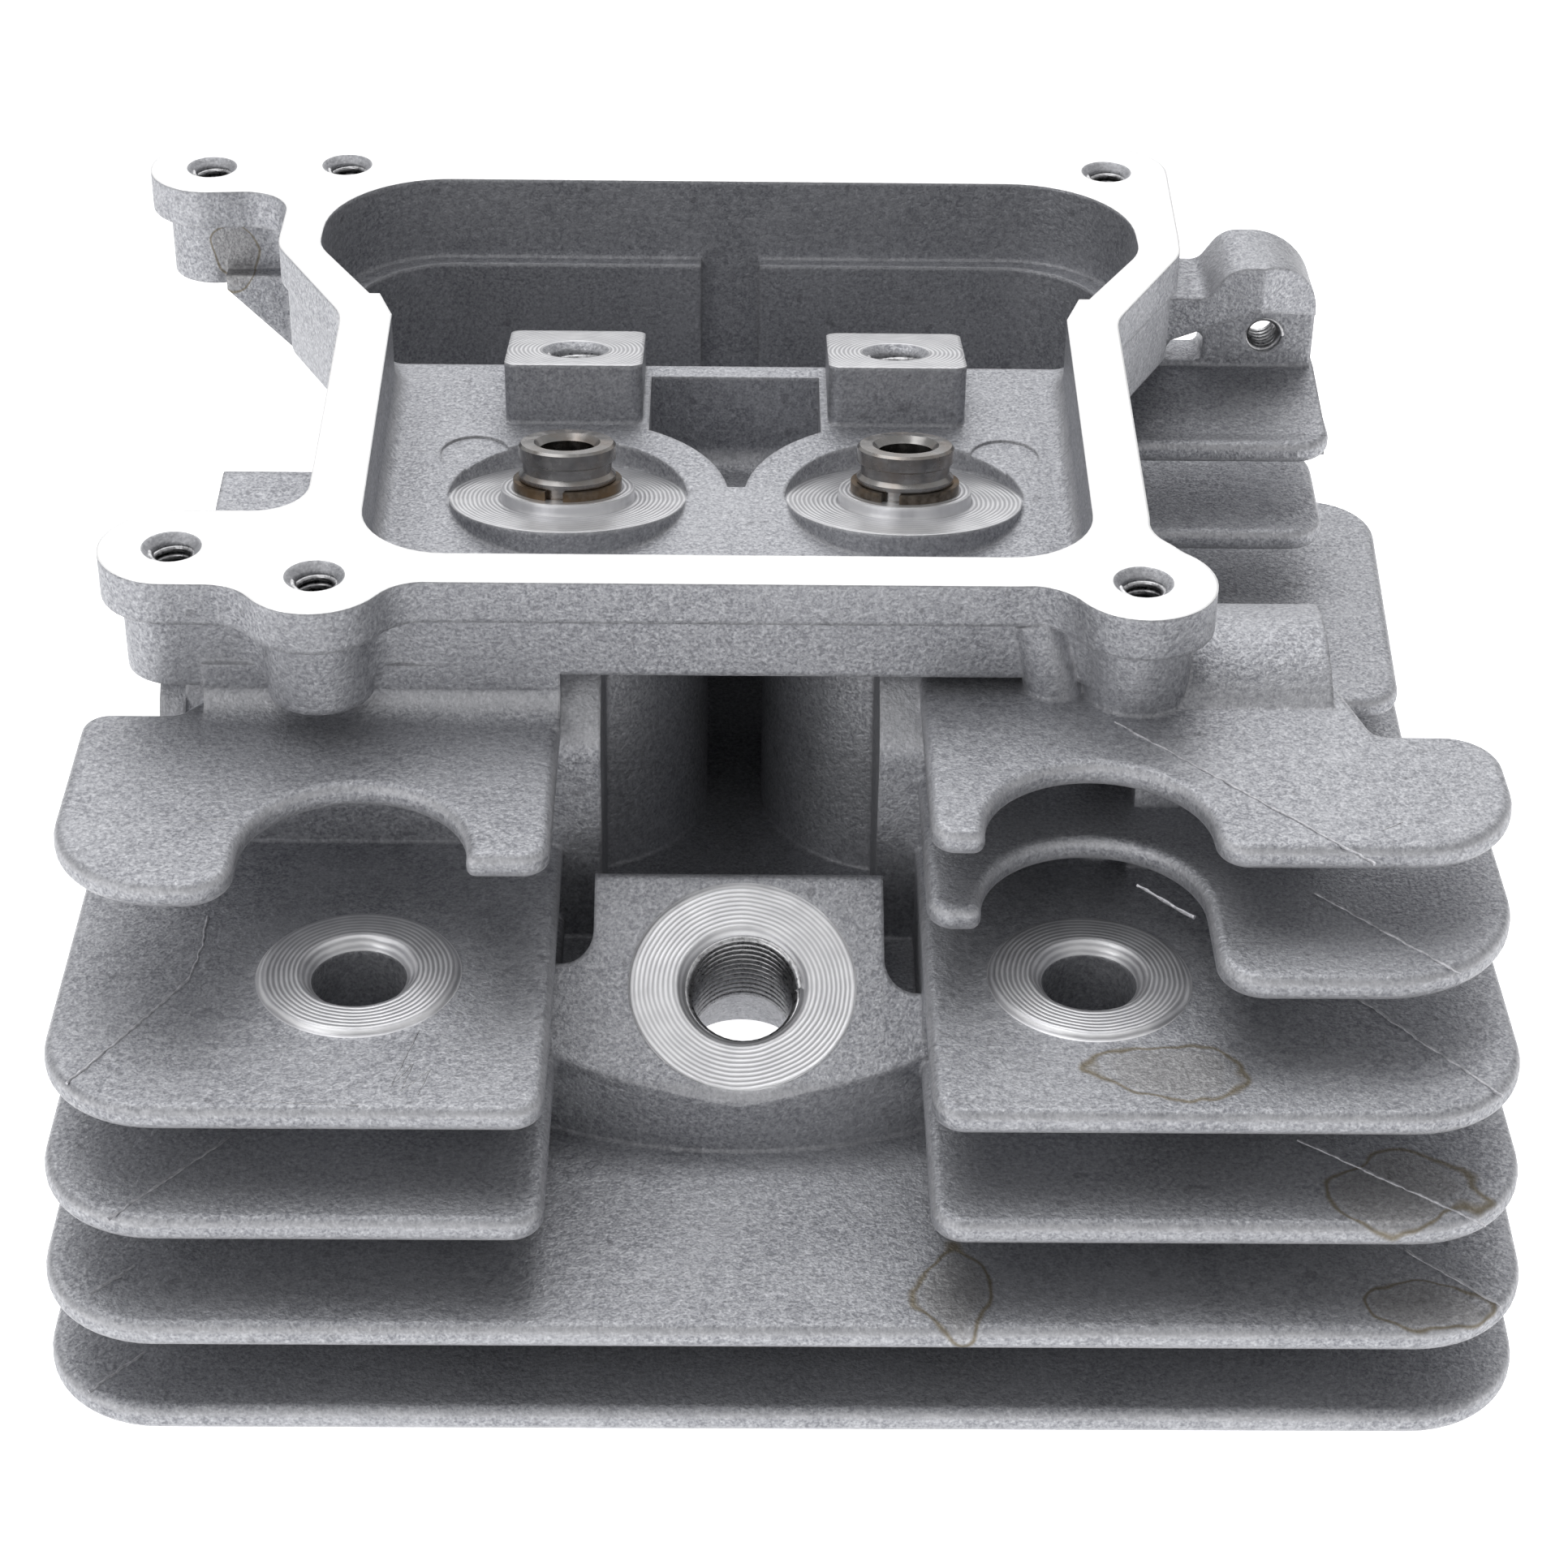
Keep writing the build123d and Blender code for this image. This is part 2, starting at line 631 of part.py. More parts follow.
def stud_holes():
    cuts = []
    for x in stud_x:
        where = Plane(origin=(x, stud_y - stud_lead, stud_top + stud_lead * tan_v), x_dir=(1, 0, 0),
                      z_dir=(0, sin_v, cos_v))
        step = (stud_chamfer - m8_drill) / 2
        cuts.append(where * (Pos(0, 0, 1 - stud_depth / 2) * Cylinder(m8_drill / 2, stud_depth + 2)))
        cuts.append(where * (Pos(0, 0, -step / 2) * Cone(m8_drill / 2, stud_chamfer / 2, step)))
    for side in valve_sides:
        for way in (1, -1):
            y = port_y[side] + way * port_stud_dy[side]
            z = port_z[side] + way * port_stud_dz[side]
            x = port_face[side]
            cuts.append(rod((x * 1.01, y, z), (x - math.copysign(m8_depth, x), y, z), m8_drill / 2))
    return cuts


def chamber_cut():
    """Wedge chamber: deep under the plug, running out to the squish land."""
    disc = post(0, chamber_y, -1, 40, chamber_dia / 2) & block(-60, 60, -60, squish_y, -1, 40)
    reach = 60.0
    z_front = chamber_roof_z + (reach + valve_roof_y()) * tan_v
    z_back = chamber_roof_z - (reach - valve_roof_y()) * tan_v
    under = side_slab([(-reach, -5, 0), (-reach, z_front, 0), (reach, z_back, 0), (reach, -20, 0),
                       (-reach, -20, 0)], -60, 60)
    return disc & under


def valve_roof_y():
    return valve_y - (spring_seat_z - chamber_roof_z) * tan_v


def insert_cuts(side):
    roof = -roof_distance()
    guide = on_valve(side, -guide_below - 8, 20, guide_dia / 2)
    seat = on_valve(side, roof - 3, roof + seat_height, seat_outer[side] / 2)
    return [guide, seat]


def spring_seat_cut(side):
    return on_valve(side, 0, 15, spring_seat_dia / 2 + 0.3)


def plug_cuts():
    lead = (plug_chamfer - plug_drill) / 2
    return [on_plug(0, 30, plug_seat / 2), on_plug(-30, 5, plug_drill / 2),
            on_plug(-lead, 0, plug_drill / 2, plug_chamfer / 2)]


def pads():
    """Machined pads: raised on the front fins, flush in the pushrod well."""
    pieces = []
    for sx in (-1, 1):
        for sy in (-1, 1):
            x, y = sx * head_bolt_x, sy * head_bolt_y
            radius = head_bolt_pad / 2
            pieces.append(rod((x, y, pad_top - pad_bevel), (x, y, pad_top), radius, radius - pad_bevel))
            pieces.append(post(x, y, pad_top - 5, pad_top - pad_bevel, radius))
    return pieces


def head_casting():
    body = core() + fins() + rocker_box() + plug_boss() + ribs() + right_ear() + left_ear()
    for side in valve_sides:
        body += port_boss(side)
    solid = body[0].fuse(*body[1:])
    cuts = rocker_cavity() + [channel_cut()] + [spring_seat_cut(side) for side in valve_sides]
    solid = solid.cut(*cuts)
    solid = solid.fuse(*(stud_bosses() + spring_seats() + pads()))
    cuts = bolt_holes() + stud_holes() + plug_cuts() + ejector_cuts() + [chamber_cut(), ear_hole()]
    for side in valve_sides:
        cuts += port_cut(side) + insert_cuts(side)
        cuts.append(pushrod_cut(side))
    return solid.cut(*cuts)


def ear_hole():
    return rod((ear_x, ear_y - 20, ear_z), (ear_x, ear_y + 20, ear_z), ear_drill / 2)


def pushrod_cut(side):
    x = math.copysign(pushrod_x, valve_x[side])
    return slab(Pos(x, pushrod_y) * SlotOverall(pushrod_slot * 1.4, pushrod_slot), -1, pad_top + 1)


# ---- inserts
def turned(side, profile):
    """Turn (radius, height) pairs about a valve axis; heights are above the spring seat."""
    face = make_face(Plane.XZ * Polyline(*profile, close=True))
    return valve_plane(side) * revolve(face, Axis.Z)


def valve_guide(side):
    outer = guide_dia / 2
    waist = outer - 0.5
    groove = outer - 0.4
    bore = guide_bore / 2
    ring_top = step_ring_height + ring_wire + 0.1
    top = guide_above
    return turned(side, [(bore, -guide_below), (outer - 0.8, -guide_below), (outer, -guide_below + 1),
                         (outer, step_ring_height), (groove, step_ring_height),
                         (groove, ring_top), (outer, ring_top), (outer, top - 3.9), (waist, top - 3.4), (waist, top - 2.2), (outer, top - 1.9),
                         (outer, top - 0.3), (outer - 0.3, top), (bore + 0.7, top), (bore, top - 0.8)])


def retaining_ring(side):
    """Open ring in the guide's groove, resting on the step ring."""
    inner = guide_dia / 2 - 0.4
    low = step_ring_height
    high = low + ring_wire
    ring = turned(side, [(inner, low), (inner + ring_wire, low), (inner + ring_wire, high), (inner, high)])
    gap = Pos(0, -10, 0) * Box(ring_gap, 20, 20)
    return ring - valve_plane(side) * (Rot(0, 0, ring_turn[side]) * gap)


def seat_insert(side):
    low = -roof_distance()
    outer = seat_outer[side] / 2
    inner = outer - seat_wall
    lead = 1.2
    return turned(side, [(outer, low), (outer, low + seat_height), (inner, low + seat_height),
                         (inner, low + lead),
                         (inner + lead, low)])


def keep(name, shape):
    shape.label = name
    export_step(shape, os.path.join("parts", name + ".step"))


os.makedirs("parts", exist_ok=True)
keep("head_casting", head_casting())
for side in valve_sides:
    keep(side + "_valve_guide", valve_guide(side))
    keep(side + "_guide_ring", retaining_ring(side))
    keep(side + "_valve_seat", seat_insert(side))
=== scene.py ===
import math
import random

import bpy
import bmesh
from mathutils import Matrix, Vector


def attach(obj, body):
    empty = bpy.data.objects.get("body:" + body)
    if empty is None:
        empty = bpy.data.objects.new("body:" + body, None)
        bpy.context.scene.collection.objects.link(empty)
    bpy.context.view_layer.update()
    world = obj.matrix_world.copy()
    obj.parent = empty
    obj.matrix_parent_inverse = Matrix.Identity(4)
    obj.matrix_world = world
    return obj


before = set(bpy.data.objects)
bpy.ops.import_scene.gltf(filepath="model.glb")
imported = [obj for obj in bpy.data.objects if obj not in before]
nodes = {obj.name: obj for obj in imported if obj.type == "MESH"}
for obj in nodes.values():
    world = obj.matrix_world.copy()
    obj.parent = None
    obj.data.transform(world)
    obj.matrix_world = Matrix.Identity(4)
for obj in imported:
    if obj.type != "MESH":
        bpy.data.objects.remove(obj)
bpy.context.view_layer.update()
mm = 0.001
print("frame loaded:", len(nodes), "nodes")

# the two tilted axes of the head: valves lean back, the plug leans forward
valveTilt = math.radians(12.5)
plugTilt = math.radians(28.2)
valveAxis = Vector((0, math.sin(valveTilt), math.cos(valveTilt)))
plugAxis = Vector((0, -math.sin(plugTilt), math.cos(plugTilt)))

places = {
    "coverTop": 72.0,
    "padTop": 38.6,
    "headBolts": [(-40, -55), (40, -55), (-40, 55), (40, 55)],
    "coverScrews": [(-45.7, -27.0), (46.2, -27.0), (-62.3, -20.8), (-52.5, 83.8), (51.5, 83.8), (-70.8, 82.6)],
    "valveSeats": [(-19.4, 9.0, 62.0), (21.3, 9.0, 62.0)],
    "rockerStuds": [(-19.4, 35.9, 68.38), (21.0, 35.9, 68.38)],
    "plugSeat": (2.0, -48.9, 32.1),
    "portFaces": [-64.8, 68.2],
    "ear": (72.7, 68.0, 55.2),
}


# ---------- shader helpers
def newTree(name):
    material = bpy.data.materials.new(name)
    material.use_nodes = True
    tree = material.node_tree
    shader = tree.nodes["Principled BSDF"]
    return material, tree, shader


def feed(tree, socket, value):
    if isinstance(value, bpy.types.NodeSocket):
        tree.links.new(value, socket)
    else:
        socket.default_value = value


def calc(tree, operation, a, b=0.0, c=0.0, clamp=False):
    step = tree.nodes.new("ShaderNodeMath")
    step.operation = operation
    step.use_clamp = clamp
    for socket, value in zip(step.inputs, (a, b, c)):
        feed(tree, socket, value)
    return step.outputs[0]


def vectorCalc(tree, operation, a, b=(0, 0, 0), scale=None):
    step = tree.nodes.new("ShaderNodeVectorMath")
    step.operation = operation
    feed(tree, step.inputs[0], a)
    if operation == "SCALE":
        feed(tree, step.inputs["Scale"], scale)
        return step.outputs["Vector"]
    feed(tree, step.inputs[1], b)
    single = operation in ("DOT_PRODUCT", "LENGTH", "DISTANCE")
    return step.outputs["Value"] if single else step.outputs["Vector"]


def ramp(tree, value, low, high, outLow=0.0, outHigh=1.0):
    step = tree.nodes.new("ShaderNodeMapRange")
    feed(tree, step.inputs["Value"], value)
    for name, setting in (("From Min", low), ("From Max", high), ("To Min", outLow), ("To Max", outHigh)):
        feed(tree, step.inputs[name], setting)
    return step.outputs["Result"]


def mixColour(tree, factor, a, b):
    step = tree.nodes.new("ShaderNodeMix")
    step.data_type = "RGBA"
    feed(tree, step.inputs[0], factor)
    for socket, value in ((step.inputs[6], a), (step.inputs[7], b)):
        feed(tree, socket, value if isinstance(value, bpy.types.NodeSocket) else (*value, 1.0))
    return step.outputs[2]


def noise(tree, place, size, detail=2.0, roughness=0.5):
    # size is the width of one lump, in metres
    step = tree.nodes.new("ShaderNodeTexNoise")
    feed(tree, step.inputs["Vector"], place)
    step.inputs["Scale"].default_value = 1.0 / size
    step.inputs["Detail"].default_value = detail
    step.inputs["Roughness"].default_value = roughness
    return step.outputs["Fac"]


def bump(tree, height, depth, strength=1.0, normal=None):
    step = tree.nodes.new("ShaderNodeBump")
    step.inputs["Strength"].default_value = strength
    step.inputs["Distance"].default_value = depth
    feed(tree, step.inputs["Height"], height)
    if normal is not None:
        feed(tree, step.inputs["Normal"], normal)
    return step.outputs["Normal"]


def objectPlace(tree):
    return tree.nodes.new("ShaderNodeTexCoord").outputs["Object"]


def faceNormal(tree):
    return tree.nodes.new("ShaderNodeNewGeometry").outputs["Normal"]


def alongAxis(tree, place, origin, axis):
    # height along a tilted axis and distance from it
    offset = vectorCalc(tree, "SUBTRACT", place, origin)
    height = vectorCalc(tree, "DOT_PRODUCT", offset, axis)
    spoke = vectorCalc(tree, "SUBTRACT", offset, vectorCalc(tree, "SCALE", tuple(axis), scale=height))
    return height, vectorCalc(tree, "LENGTH", spoke)


def near(tree, value, centre, half):
    return calc(tree, "COMPARE", value, centre, half)


def times(tree, *values):
    result = values[0]
    for value in values[1:]:
        result = calc(tree, "MULTIPLY", result, value)
    return result


def largest(tree, *values):
    result = values[0]
    for value in values[1:]:
        result = calc(tree, "MAXIMUM", result, value)
    return result


# ---------- cast aluminium with machined faces
castLook = {
    "colour": (0.375, 0.380, 0.405),
    "dark": (0.245, 0.250, 0.272),
    "light": (0.525, 0.530, 0.555),
    "milled": (0.93, 0.93, 0.93),
    "turned": (0.80, 0.80, 0.815),
    "stain": (0.20, 0.17, 0.115),
    "grain": 0.00032,
    "ringPitch": 0.00055,
    "stains": [((47.0, -70.5, 38.0), 8.0, 4.6), ((72.5, -78.0, 28.0), 9.0, 5.6), ((74.8, -85.6, 18.0), 6.0, 4.0),
               ((24.5, -83.5, 18.0), 4.0, 6.5), ((-68.0, 75.0, 62.0), 3.0, 5.0)],
}


def machinedFaces(tree, place):
    # each machined face gives a mask and its distance from the tool's centre
    coords = tree.nodes.new("ShaderNodeSeparateXYZ")
    feed(tree, coords.inputs[0], place)
    x, y, z = coords.outputs
    slope = tree.nodes.new("ShaderNodeSeparateXYZ")
    feed(tree, slope.inputs[0], faceNormal(tree))
    sideways, deep, upward = slope.outputs
    faces = []
    flange = times(tree, calc(tree, "GREATER_THAN", z, (places["coverTop"] - 0.03) * mm),
                   calc(tree, "GREATER_THAN", upward, 0.9))
    for boltX, boltY in places["headBolts"]:
        away = vectorCalc(tree, "DISTANCE", vectorCalc(tree, "MULTIPLY", place, (1, 1, 0)), (boltX * mm, boltY * mm, 0))
        mask = times(tree, calc(tree, "LESS_THAN", away, 11.25 * mm), near(tree, z, (places["padTop"] - 1.0) * mm, 1.03 * mm),
                     calc(tree, "GREATER_THAN", upward, 0.3))
        faces.append((mask, away))
    for origin in places["valveSeats"]:
        height, away = alongAxis(tree, place, Vector(origin) * mm, valveAxis)
        mask = times(tree, calc(tree, "LESS_THAN", away, 14.3 * mm), near(tree, height, 0.7 * mm, 0.76 * mm))
        faces.append((mask, away))
    height, away = alongAxis(tree, place, Vector(places["plugSeat"]) * mm, plugAxis)
    faces.append((times(tree, calc(tree, "LESS_THAN", away, 12.75 * mm), near(tree, height, -0.35 * mm, 0.75 * mm)), away))
    for studX, studY, studZ in places["rockerStuds"]:
        height, away = alongAxis(tree, place, Vector((studX, studY, studZ)) * mm, valveAxis)
        mask = times(tree, calc(tree, "LESS_THAN", away, 13.0 * mm), near(tree, height, 0, 0.05 * mm))
        faces.append((mask, away))
    flat = near(tree, z, 0, 0.02 * mm)
    for face in places["portFaces"]:
        flat = largest(tree, flat, times(tree, near(tree, x, face * mm, 0.03 * mm),
                                         calc(tree, "GREATER_THAN", calc(tree, "ABSOLUTE", sideways), 0.9)))
    return flange, flat, faces, (x, y, z), (sideways, deep, upward)


def stainRings(tree, place):
    # dried drops leave a dark outline with a wavy edge
    wobble = noise(tree, place, 0.009, 2.0)
    total = None
    for (x, y, z), wide, deep in castLook["stains"]:
        offset = vectorCalc(tree, "SUBTRACT", place, (x * mm, y * mm, z * mm))
        offset = vectorCalc(tree, "MULTIPLY", offset, (1 / (wide * mm), 1 / (deep * mm), 1 / (4 * mm)))
        edge = calc(tree, "ADD", vectorCalc(tree, "LENGTH", offset), ramp(tree, wobble, 0.3, 0.7, -0.3, 0.3))
        line = ramp(tree, calc(tree, "ABSOLUTE", calc(tree, "SUBTRACT", edge, 1.0)), 0.01, 0.08, 0.85, 0.0)
        wash = ramp(tree, edge, 1.0, 0.8, 0.0, 0.22)
        both = largest(tree, line, wash)
        total = both if total is None else largest(tree, total, both)
    return total


def makeCastAluminium():
    material, tree, shader = newTree("castAluminium")
    place = objectPlace(tree)
    flange, flat, faces, (x, y, z), (sideways, deep, upward) = machinedFaces(tree, place)
    turned = largest(tree, *[mask for mask, away in faces])
    radius = times(tree, *faces[0])
    for mask, away in faces[1:]:
        radius = calc(tree, "ADD", radius, times(tree, mask, away))
    milled = largest(tree, flange, flat)
    smooth = largest(tree, turned, milled)

    # blasted grain, soft blotches and a few dark pits
    grain = noise(tree, place, castLook["grain"], 3.0, 0.6)
    speck = noise(tree, place, castLook["grain"] * 1.9, 2.0)
    blotch = noise(tree, place, 0.011, 4.0, 0.6)
    pit = ramp(tree, noise(tree, place, 0.0021, 1.0), 0.70, 0.76)
    tone = calc(tree, "ADD", times(tree, grain, 0.55), times(tree, speck, 0.45))
    cast = mixColour(tree, ramp(tree, tone, 0.40, 0.50), castLook["dark"], castLook["colour"])
    cast = mixColour(tree, ramp(tree, tone, 0.52, 0.63), cast, castLook["light"])
    cast = mixColour(tree, ramp(tree, blotch, 0.35, 0.7, 0.0, 0.35), cast, castLook["light"])
    cast = mixColour(tree, times(tree, pit, 0.35), cast, (0.13, 0.13, 0.14))

    # edges and sloped faces of the casting are painted lighter: rubbed wear on the edges plus a painted highlight where
    # rounded edges and slopes catch the light
    rounded = tree.nodes.new("ShaderNodeBevel")
    rounded.samples = 4
    rounded.inputs["Radius"].default_value = 0.0008
    bend = vectorCalc(tree, "DOT_PRODUCT", rounded.outputs["Normal"], faceNormal(tree))
    # painted highlight on sloped faces, strongest where the face leans at 45 degrees
    slopeHighlight = calc(tree, "MULTIPLY", calc(tree, "ABSOLUTE", upward), calc(tree, "SUBTRACT", 1.0, calc(tree, "ABSOLUTE", upward)))
    edgeWearAndHighlight = calc(tree, "ADD", ramp(tree, bend, 0.995, 0.86, 0.0, 0.45), ramp(tree, slopeHighlight, 0.12, 0.25, 0.0, 0.55), clamp=True)
    edgeWearAndHighlight = times(tree, edgeWearAndHighlight, ramp(tree, noise(tree, place, 0.004, 3.0), 0.3, 0.6, 0.4, 1.0))
    # lighter colour for the edge wear and the painted edge and slope highlight
    cast = mixColour(tree, edgeWearAndHighlight, cast, (0.56, 0.56, 0.58))
    cast = mixColour(tree, stainRings(tree, place), cast, castLook["stain"])

    # concentric tool marks on the turned faces
    drift = noise(tree, place, 0.009, 2.0)
    wave = calc(tree, "SINE", calc(tree, "ADD", times(tree, radius, 2 * math.pi / castLook["ringPitch"]), times(tree, drift, 9.0)))
    streak = noise(tree, vectorCalc(tree, "SCALE", place, scale=1.0), 0.0032, 3.0)
    turnedColour = mixColour(tree, ramp(tree, calc(tree, "ADD", times(tree, wave, 0.35), streak), 0.2, 0.85), (0.54, 0.54, 0.56),
                             castLook["turned"])
    milledColour = mixColour(tree, ramp(tree, noise(tree, place, 0.004, 4.0), 0.5, 0.75, 0.0, 0.35), castLook["milled"],
                             (0.80, 0.80, 0.81))
    colour = mixColour(tree, turned, cast, turnedColour)
    colour = mixColour(tree, milled, colour, milledColour)
    feed(tree, shader.inputs["Base Color"], colour)

    castRough = ramp(tree, grain, 0.35, 0.65, 0.62, 0.46)
    turnedRough = ramp(tree, wave, -1.0, 1.0, 0.30, 0.42)
    rough = calc(tree, "ADD", times(tree, castRough, calc(tree, "SUBTRACT", 1.0, smooth)), times(tree, turnedRough, smooth))
    feed(tree, shader.inputs["Roughness"], rough)
    shader.inputs["Metallic"].default_value = 0.82

    height = calc(tree, "ADD", times(tree, grain, 0.6), times(tree, speck, 0.9))
    height = calc(tree, "ADD", height, times(tree, noise(tree, place, 0.0032, 2.0), 1.2))
    castHeight = times(tree, calc(tree, "SUBTRACT", 1.0, smooth), height)
    turnedHeight = times(tree, turned, wave, 0.10)
    normal = bump(tree, calc(tree, "ADD", castHeight, turnedHeight), 0.00013, 0.8, rounded.outputs["Normal"])
    feed(tree, shader.inputs["Normal"], normal)
    return material


# ---------- plain metals
def makeMetal(name, colour, dark, rough, grainSize, bandPitch=0.0, metallic=1.0, brown=None):
    material, tree, shader = newTree(name)
    place = objectPlace(tree)
    grain = noise(tree, place, grainSize, 3.0)
    shade = mixColour(tree, ramp(tree, grain, 0.35, 0.65), dark, colour)
    height = grain
    if bandPitch:
        # turning marks across the valve axis
        along = vectorCalc(tree, "DOT_PRODUCT", place, tuple(valveAxis))
        wave = calc(tree, "SINE", times(tree, along, 2 * math.pi / bandPitch))
        shade = mixColour(tree, ramp(tree, wave, -1, 1, 0, 0.35), shade, dark)
        height = calc(tree, "ADD", times(tree, grain, 0.3), times(tree, wave, 0.5))
    if brown is not None:
        patch = ramp(tree, noise(tree, place, 0.0035, 3.0), 0.45, 0.65, 0.0, 0.7)
        shade = mixColour(tree, patch, shade, brown)
    feed(tree, shader.inputs["Base Color"], shade)
    feed(tree, shader.inputs["Roughness"], ramp(tree, grain, 0.3, 0.7, rough - 0.07, rough + 0.09))
    shader.inputs["Metallic"].default_value = metallic
    feed(tree, shader.inputs["Normal"], bump(tree, height, 0.000004, 0.4))
    return material


castAluminium = makeCastAluminium()
guideSteel = makeMetal("guideSteel", (0.36, 0.35, 0.345), (0.29, 0.283, 0.275), 0.24, 0.0016, 0.0006, brown=(0.27, 0.23, 0.20))
ringWire = makeMetal("ringWire", (0.20, 0.17, 0.14), (0.09, 0.075, 0.06), 0.38, 0.0008, brown=(0.23, 0.15, 0.08))
seatSteel = makeMetal("seatSteel", (0.52, 0.51, 0.50), (0.36, 0.35, 0.34), 0.28, 0.0007, 0.0005)
tappedAluminium = makeMetal("tappedAluminium", (0.62, 0.62, 0.63), (0.34, 0.34, 0.35), 0.30, 0.0005)
flashAluminium = makeMetal("flashAluminium", (0.62, 0.62, 0.645), (0.34, 0.34, 0.36), 0.50, 0.0006, metallic=0.85)

nodeMaterials = {
    "head_casting": castAluminium, "intake_valve_guide": guideSteel, "exhaust_valve_guide": guideSteel,
    "intake_guide_ring": ringWire, "exhaust_guide_ring": ringWire,
    "intake_valve_seat": seatSteel, "exhaust_valve_seat": seatSteel,
}
for name, material in nodeMaterials.items():
    nodes[name].data.materials.clear()
    nodes[name].data.materials.append(material)
print("materials assigned")


# ---------- threads, swept along a spiral
threads = {
    "coverScrew": {"radius": 2.5, "pitch": 1.0, "turns": 11},
    "rockerStud": {"radius": 3.4, "pitch": 1.25, "turns": 8},
    "plug": {"radius": 6.45, "pitch": 1.25, "turns": 12},
    "portStud": {"radius": 3.4, "pitch": 1.25, "turns": 9},
    "earScrew": {"radius": 2.5, "pitch": 1.0, "turns": 6},
}


def makeThreadTree():
    tree = bpy.data.node_groups.new("threadSpiral", "GeometryNodeTree")
    face = tree.interface
    for name, low in (("Radius", 0.0025), ("Pitch", 0.001), ("Turns", 10.0)):
        socket = face.new_socket(name, in_out="INPUT", socket_type="NodeSocketFloat")
        socket.default_value = low
    face.new_socket("Finish", in_out="INPUT", socket_type="NodeSocketMaterial")
    face.new_socket("Geometry", in_out="OUTPUT", socket_type="NodeSocketGeometry")
    add = tree.nodes.new
    entry = add("NodeGroupInput")
    spiral = add("GeometryNodeCurveSpiral")
    spiral.inputs["Resolution"].default_value = 36
    for name in ("Start Radius", "End Radius"):
        tree.links.new(entry.outputs["Radius"], spiral.inputs[name])
    tree.links.new(entry.outputs["Turns"], spiral.inputs["Rotations"])
    rise = add("ShaderNodeMath")
    rise.operation = "MULTIPLY"
    tree.links.new(entry.outputs["Pitch"], rise.inputs[0])
    tree.links.new(entry.outputs["Turns"], rise.inputs[1])
    tree.links.new(rise.outputs[0], spiral.inputs["Height"])
    upright = add("GeometryNodeSetCurveNormal")
    upright.mode = "Z_UP"
    tree.links.new(spiral.outputs[0], upright.inputs[0])
    ridge = add("GeometryNodeCurvePrimitiveCircle")
    ridge.inputs["Resolution"].default_value = 4
    half = add("ShaderNodeMath")
    half.operation = "MULTIPLY"
    half.inputs[1].default_value = 0.5
    tree.links.new(entry.outputs["Pitch"], half.inputs[0])
    tree.links.new(half.outputs[0], ridge.inputs["Radius"])
    sweep = add("GeometryNodeCurveToMesh")
    sweep.inputs["Fill Caps"].default_value = True
    tree.links.new(upright.outputs[0], sweep.inputs["Curve"])
    tree.links.new(ridge.outputs[0], sweep.inputs["Profile Curve"])
    solid = add("GeometryNodeRealizeInstances")
    tree.links.new(sweep.outputs[0], solid.inputs[0])
    finish = add("GeometryNodeSetMaterial")
    tree.links.new(solid.outputs[0], finish.inputs["Geometry"])
    tree.links.new(entry.outputs["Finish"], finish.inputs["Material"])
    leave = add("NodeGroupOutput")
    tree.links.new(finish.outputs[0], leave.inputs[0])
    return tree


threadTree = makeThreadTree()


def makeThread(name, size, mouth, axis):
    # mouth is the top of the thread; the spiral runs down from there
    cut = threads[size]
    holder = bpy.data.objects.new(name, bpy.data.meshes.new(name))
    bpy.context.scene.collection.objects.link(holder)
    modifier = holder.modifiers.new("thread", "NODES")
    modifier.node_group = threadTree
    settings = {"Radius": cut["radius"] * mm, "Pitch": cut["pitch"] * mm, "Turns": float(cut["turns"]), "Finish": tappedAluminium}
    for item in threadTree.interface.items_tree:
        if item.in_out == "INPUT" and item.name in settings:
            modifier[item.identifier] = settings[item.name]
    bpy.context.view_layer.update()
    shape = bpy.data.meshes.new_from_object(holder.evaluated_get(bpy.context.evaluated_depsgraph_get()))
    holder.modifiers.clear()
    down = Vector(axis).to_track_quat("Z", "Y").to_matrix().to_4x4()
    start = Vector(mouth) * mm - Vector(axis) * cut["turns"] * cut["pitch"] * mm
    shape.transform(Matrix.Translation(start) @ down)
    holder.data = shape
    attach(holder, "root")
    return holder


up = Vector((0, 0, 1))
for index, (x, y) in enumerate(places["coverScrews"]):
    makeThread(f"coverScrewThread{index}", "coverScrew", (x, y, places["coverTop"] - 0.9), up)
for index, mouth in enumerate(places["rockerStuds"]):
    makeThread(f"rockerStudThread{index}", "rockerStud", Vector(mouth) - valveAxis * 1.0, valveAxis)
makeThread("plugThread", "plug", Vector(places["plugSeat"]) - plugAxis * 1.0, plugAxis)
portStuds = [(-64.8, 10.5, 52.5, -1), (-64.8, -17.5, 24.5, -1), (68.2, -20.0, 46.5, 1), (68.2, 12.0, 25.5, 1)]
for index, (x, y, z, way) in enumerate(portStuds):
    makeThread(f"portStudThread{index}", "portStud", (x - way * 0.3, y, z), (way, 0, 0))
makeThread("earThread", "earScrew", Vector(places["ear"]) + Vector((0, 0.2, 0)), (0, -1, 0))
print("threads cut")


